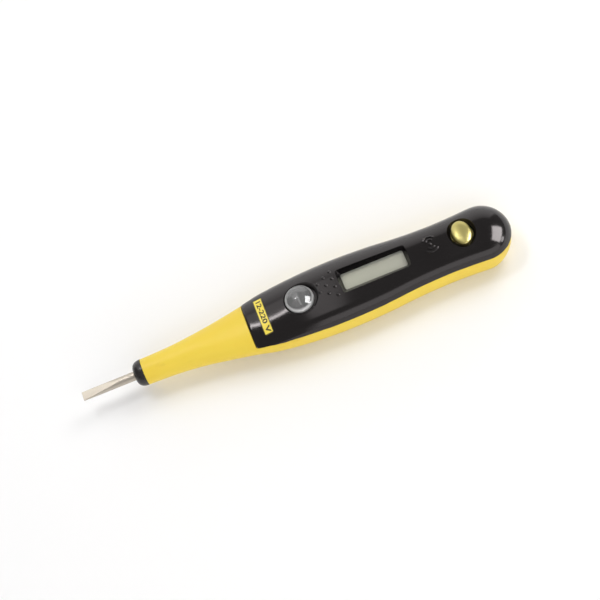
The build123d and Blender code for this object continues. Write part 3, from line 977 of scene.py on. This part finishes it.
# %% [markdown]
# ## Finishes
# The yellow moulding is satin with a faint spark-eroded texture and a slightly uneven colour. The black
# cover is polished, with fine handling marks that only show in its roughness. Metals get long brushed
# streaks or a light tarnish, and the display has the greenish grey of a reflective panel.

# %% Plastics


def yellow_abs():
    paint = Finish("yellow_abs", IOR=1.5, Subsurface_Weight=0.06, Subsurface_Scale=0.0012)
    cloud = paint.noise(70.0, 3.0)
    grain = paint.noise(5200.0, 2.0)
    scuffs = paint.noise(420.0, 6.0, (0.35, 1.0, 1.0), 0.62)
    wear = ((scuffs - 0.60) * 6.0).clamped()
    tone = paint.blend(cloud, (0.775, 0.548, 0.040, 1), (0.83, 0.627, 0.057, 1))
    colour = paint.blend(wear * 0.35, tone, (0.62, 0.42, 0.05, 1))
    paint.feed(Base_Color=colour, Roughness=0.36 + 0.10 * cloud + 0.10 * wear)
    return paint.bump(grain * 0.8 + wear * 0.2, 0.22, 0.00006)


def black_abs():
    paint = Finish("black_abs", IOR=1.52, Specular_Tint=(1.0, 0.93, 0.93, 1))
    cloud = paint.noise(60.0, 2.0)
    marks = paint.noise(900.0, 5.0, (0.25, 1.0, 1.0), 0.65)
    rubbed = ((marks - 0.58) * 5.0).clamped()
    colour = paint.blend(cloud, (0.0034, 0.0030, 0.0031, 1), (0.0060, 0.0054, 0.0055, 1))
    paint.feed(Base_Color=colour, Roughness=0.12 + 0.05 * cloud + 0.10 * rubbed)
    return paint.bump(cloud, 0.03, 0.0001)


def collar_nylon():
    paint = Finish("collar_nylon", IOR=1.5)
    cloud = paint.noise(300.0, 3.0)
    colour = paint.blend(cloud, (0.010, 0.009, 0.009, 1), (0.020, 0.018, 0.017, 1))
    paint.feed(Base_Color=colour, Roughness=0.20 + 0.16 * cloud)
    return paint.bump(paint.noise(4000.0, 2.0), 0.12, 0.00004)


def clear_acrylic(name, **constants):
    """Clear plastic as a thin film: what lies behind shows through by alpha, and the film keeps its gloss."""
    paint = Finish(name, **constants)
    cloud = paint.noise(400.0, 3.0)
    return paint.feed(Roughness=0.03 + 0.06 * cloud)


def clear_lens():
    """The lens is a little milky, and its colour is painted light grey towards its rim as a painted
    highlight.
    """
    paint = clear_acrylic("clear_lens", IOR=2.1)
    flat = paint.node("ShaderNodeVectorMath", {"operation": "MULTIPLY"}, {0: paint.place, 1: (1, 1, 0)})
    reach = paint.node("ShaderNodeVectorMath", {"operation": "DISTANCE"}, {0: flat, 1: (lens_x, 0, 0)}, 1)
    # painted highlight: towards the rim the base colour turns light grey and the lens grows more opaque
    rim = ((reach - 0.84 * lens_r) / (0.14 * lens_r)).clamped()
    inner = paint.noise(300.0, 2.0)
    tone = paint.blend(inner, (0.12, 0.12, 0.12, 1), (0.24, 0.24, 0.24, 1))
    return paint.feed(Base_Color=paint.blend(rim, tone, (0.78, 0.78, 0.77, 1)), Alpha=0.60 + 0.3 * rim)


# %% Metals


def blade_steel():
    paint = Finish("blade_steel", Metallic=1.0)
    streaks = paint.noise(700.0, 4.0, (0.06, 1.0, 1.0), 0.6)
    cloud = paint.noise(160.0, 3.0)
    colour = paint.blend(cloud, (0.49, 0.44, 0.37, 1), (0.58, 0.53, 0.46, 1))
    paint.feed(Base_Color=colour, Roughness=0.34 + 0.16 * streaks)
    return paint.bump(streaks, 0.10, 0.00004)


def bright_steel():
    paint = Finish("bright_steel", Metallic=1.0)
    cloud = paint.noise(500.0, 4.0)
    colour = paint.blend(cloud, (0.55, 0.55, 0.56, 1), (0.72, 0.72, 0.72, 1))
    return paint.feed(Base_Color=colour, Roughness=0.18 + 0.18 * cloud)


def brass_plate():
    paint = Finish("brass_plate", Metallic=1.0)
    cloud = paint.noise(260.0, 4.0)
    rub = paint.noise(1800.0, 3.0, (1.0, 0.3, 1.0))
    colour = paint.blend(cloud, (0.51, 0.44, 0.14, 1), (0.59, 0.52, 0.215, 1))
    paint.feed(Base_Color=colour, Roughness=0.26 + 0.12 * cloud + 0.08 * rub)
    return paint.bump(rub, 0.05, 0.00003)


# %% Display, label and inner parts


def display_grey():
    paint = Finish("display_grey", IOR=1.5, Coat_Weight=0.4, Coat_Roughness=0.08)
    x = paint.axes()[0]
    along = ((x - (display_x - glass_half_x)) / (2 * glass_half_x)).clamped()
    cloud = paint.noise(90.0, 2.0)
    colour = paint.blend((along * 0.5 + cloud * 0.5).clamped(), (0.64, 0.65, 0.50, 1), (0.53, 0.52, 0.43, 1))
    return paint.feed(Base_Color=colour, Roughness=0.28 + 0.08 * cloud)


def label_vinyl():
    paint = Finish("label_vinyl", IOR=1.48)
    x, y, _ = paint.axes()
    border = 0.22 * MM
    side = (abs(x - label_x) - (label_half_x - border)) > 0.0
    ends = (abs(y) - (label_high.y - border)) > 0.0
    edge = (side + ends).clamped()
    cloud = paint.noise(260.0, 3.0)
    yellow = paint.blend(cloud, (0.80, 0.62, 0.06, 1), (0.90, 0.74, 0.10, 1))
    colour = paint.blend(edge * 0.92, yellow, (0.03, 0.025, 0.01, 1))
    return paint.feed(Base_Color=colour, Roughness=0.30 + 0.15 * cloud)


def plain(name, dark, light, roughness, metallic=0.0, scale=600.0):
    """A finish for an inner part: two tones of one colour under a fine pattern."""
    paint = Finish(name, Metallic=metallic)
    cloud = paint.noise(scale, 4.0)
    paint.feed(Base_Color=paint.blend(cloud, (*dark, 1), (*light, 1)), Roughness=roughness + 0.12 * cloud)
    return paint.bump(cloud, 0.08, 0.00003)


# %% All finishes
finishes = {
    "yellow": yellow_abs(),
    "black": black_abs(),
    "collar": collar_nylon(),
    "clear": clear_acrylic("clear_window", Alpha=0.16, Base_Color=(0.55, 0.55, 0.55, 1), IOR=1.8),
    "lens": clear_lens(),
    "blade": blade_steel(),
    "steel": bright_steel(),
    "brass": brass_plate(),
    "display": display_grey(),
    "label": label_vinyl(),
    "ink": plain("label_ink", (0.010, 0.009, 0.006), (0.025, 0.022, 0.014), 0.45),
    "board": plain("board_mask", (0.010, 0.075, 0.030), (0.020, 0.120, 0.050), 0.30),
    "resin": plain("chip_resin", (0.012, 0.012, 0.013), (0.030, 0.030, 0.032), 0.45),
    "rubber": plain("strip_rubber", (0.30, 0.08, 0.10), (0.42, 0.14, 0.16), 0.60),
    "lacquer": plain("resistor_lacquer", (0.10, 0.24, 0.36), (0.16, 0.34, 0.46), 0.35),
    "lamp": plain("lamp_resin", (0.52, 0.50, 0.48), (0.66, 0.64, 0.62), 0.12),
    "nickel": plain("cell_nickel", (0.58, 0.57, 0.54), (0.74, 0.73, 0.70), 0.18, 1.0),
}
print("finishes:", ", ".join(sorted(finishes)))

# %% [markdown]
# ## Dress the pieces
# New pieces stand in for the plain CAD nodes they improve, and ride on the same bodies, so they move with
# the joints. The CAD nodes that are right already, such as the window and everything inside, only get
# their finish through their material slots.

# %% Replace, ride and finish


def dress(piece, finish, body, node=None):
    piece.data.materials.clear()
    piece.data.materials.append(finishes[finish].material)
    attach(piece, body)
    if node:
        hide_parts(node)


dress(lower_shell, "yellow", "housing", "lower_shell")
dress(top_cover, "black", "housing", "top_cover")
dress(cover_dots, "black", "housing")
dress(cover_relief, "black", "housing")
dress(blade, "blade", "housing", "blade")
dress(collar, "collar", "housing", "nose_collar")
dress(lens, "lens", "lens", "lens_button")
dress(touch, "brass", "touch", "touch_button")
dress(spring, "steel", "housing", "touch_spring")
dress(label, "label", "housing", "label")
dress(numbers, "ink", "housing")

# %% Read the touch button's travel
touch_joint = next(j for j in frame["record"]["behaviour"]["joints"] if j["name"] == "touch_press")
travel = max(touch_joint["range_m"])
1 - travel / spring_height
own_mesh(spring)
print("the spring keeps", round(1 - travel / spring_height, 2), "of its height")

# %% Finish the kept nodes
kept = {
    "battery_door": "yellow", "display_window": "clear", "display_panel": "display",
    "circuit_board": "board", "display_contact_strips": "rubber", "controller_chip": "resin",
    "surface_parts": "resin", "indicator_led": "lamp", "switch_body": "resin", "switch_plunger": "collar",
    "blade_sleeve": "collar", "probe_spring": "steel", "safety_resistor": "lacquer",
    "cell_front": "nickel", "cell_rear": "nickel", "cell_link": "nickel", "cell_contact_front": "nickel",
    "cell_contact_rear": "nickel", "case_screws": "steel",
}
for node, finish in kept.items():
    nodes[node].data.materials.clear()
    nodes[node].data.materials.append(finishes[finish].material)
print("kept", len(kept), "nodes, replaced", len(nodes) - len(kept))

# %% [markdown]
# ## Floor, light and camera
# A glossy black surface shows its surroundings more than its colour, so the light is a few large soft
# panels: one overhead and a wide one beyond it give the cover its grey sheen, a narrow one draws the
# highlight at the front, and one beyond the rear end draws the patch there. The camera looks down at the
# display side with the tester lying diagonally.

# %% Stage and lights
nothing_selected()
bpy.ops.mesh.primitive_plane_add(size=6.0, location=(0, 0, 0))
floor = start("floor")
floor_paint = Finish("floor_paper", Roughness=0.7)
floor_tone = floor_paint.noise(3.0, 2.0)
floor_paint.feed(Base_Color=floor_paint.blend(floor_tone, (0.91, 0.91, 0.91, 1), (0.94, 0.94, 0.94, 1)))
floor.data.materials.append(floor_paint.material)

world = bpy.data.worlds.new("studio")
bpy.context.scene.world = world
world.use_nodes = True
world.node_tree.nodes["Background"].inputs["Color"].default_value = (1.0, 0.98, 0.97, 1)
world.node_tree.nodes["Background"].inputs["Strength"].default_value = 0.30


def panel(name, centre, facing, size_x, size_y, brightness, role="both"):
    """A soft panel, lit on the side away from facing. A fill isn't mirrored, a glint is only mirrored."""
    nothing_selected()
    bpy.ops.object.light_add(type="AREA", location=centre)
    lamp = bpy.context.object
    lamp.name = name
    lamp.data.shape = "RECTANGLE"
    lamp.data.size, lamp.data.size_y = size_x, size_y
    lamp.data.energy = brightness * math.pi * size_x * size_y
    lamp.visible_glossy = role != "fill"
    lamp.visible_diffuse = role != "glint"
    lamp.rotation_mode = "QUATERNION"
    lamp.rotation_quaternion = Vector(facing).to_track_quat("Z", "Y")


up, far_side, near_side = (0, 0, 1), (0, 1, 0), (0, -1, 0)
panel("crown_sheen", (-0.24, 0.37, 0.62), up, 0.52, 0.50, 1.08)
panel("side_sheen", (-0.045, -0.24, 0.62), up, 0.13, 0.72, 1.15)
panel("far_low", (0.05, 1.20, 0.30), far_side, 2.60, 0.60, 0.95)
panel("far_middle", (0.05, 1.20, 0.74), far_side, 2.60, 0.28, 0.80)
panel("far_high", (0.05, 1.20, 1.02), far_side, 2.60, 0.28, 0.55)
panel("near_low", (0.45, -1.00, 0.24), near_side, 1.10, 0.46, 1.25)
panel("near_fill", (0.0, -0.66, 0.46), (0.0, -0.80, 0.55), 1.10, 0.55, 1.5, "fill")
panel("rear_fill", (0.36, 0.24, 0.45), (0.36, 0.24, 0.45), 0.34, 0.30, 4.2, "fill")
rear_way = Vector((0.79, -0.24, 0.56))
panel("rear_glint", 0.60 * rear_way, rear_way, 0.46, 0.36, 10.0, "glint")
front_way = Vector((-0.27, 0.25, 0.93))
panel("front_strip", 0.62 * front_way, front_way, 0.20, 0.045, 17.0)
low_way = Vector((0.88, -0.41, 0.17))
panel("low_glint", 0.60 * low_way, low_way, 0.14, 0.08, 8.0, "glint")

# %% Camera
camera_distance = 0.50
elevation = math.radians(62.0)
roll = math.radians(22.0)
frame_width = 0.1812
aim = Vector((0.0024, 0.0, 0.0135))

camera_data = bpy.data.cameras.new("camera")
camera = bpy.data.objects.new("camera", camera_data)
bpy.context.scene.collection.objects.link(camera)
back = Vector((0.0, -math.cos(elevation), math.sin(elevation)))
camera.location = aim + camera_distance * back
look = (-back).to_track_quat("-Z", "Y").to_matrix().to_4x4()
camera.rotation_mode = "QUATERNION"
camera.rotation_quaternion = (look @ Matrix.Rotation(-roll, 4, "Z")).to_quaternion()
camera_data.sensor_width = 36.0
camera_data.lens = 36.0 / (frame_width / camera_distance)
camera_data.clip_start, camera_data.clip_end = 0.01, 20.0
bpy.context.scene.camera = camera
bpy.context.scene.view_settings.view_transform = "Standard"
print("lens", round(camera_data.lens, 1), "mm at", camera_distance, "m")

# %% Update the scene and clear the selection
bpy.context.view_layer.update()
nothing_selected()
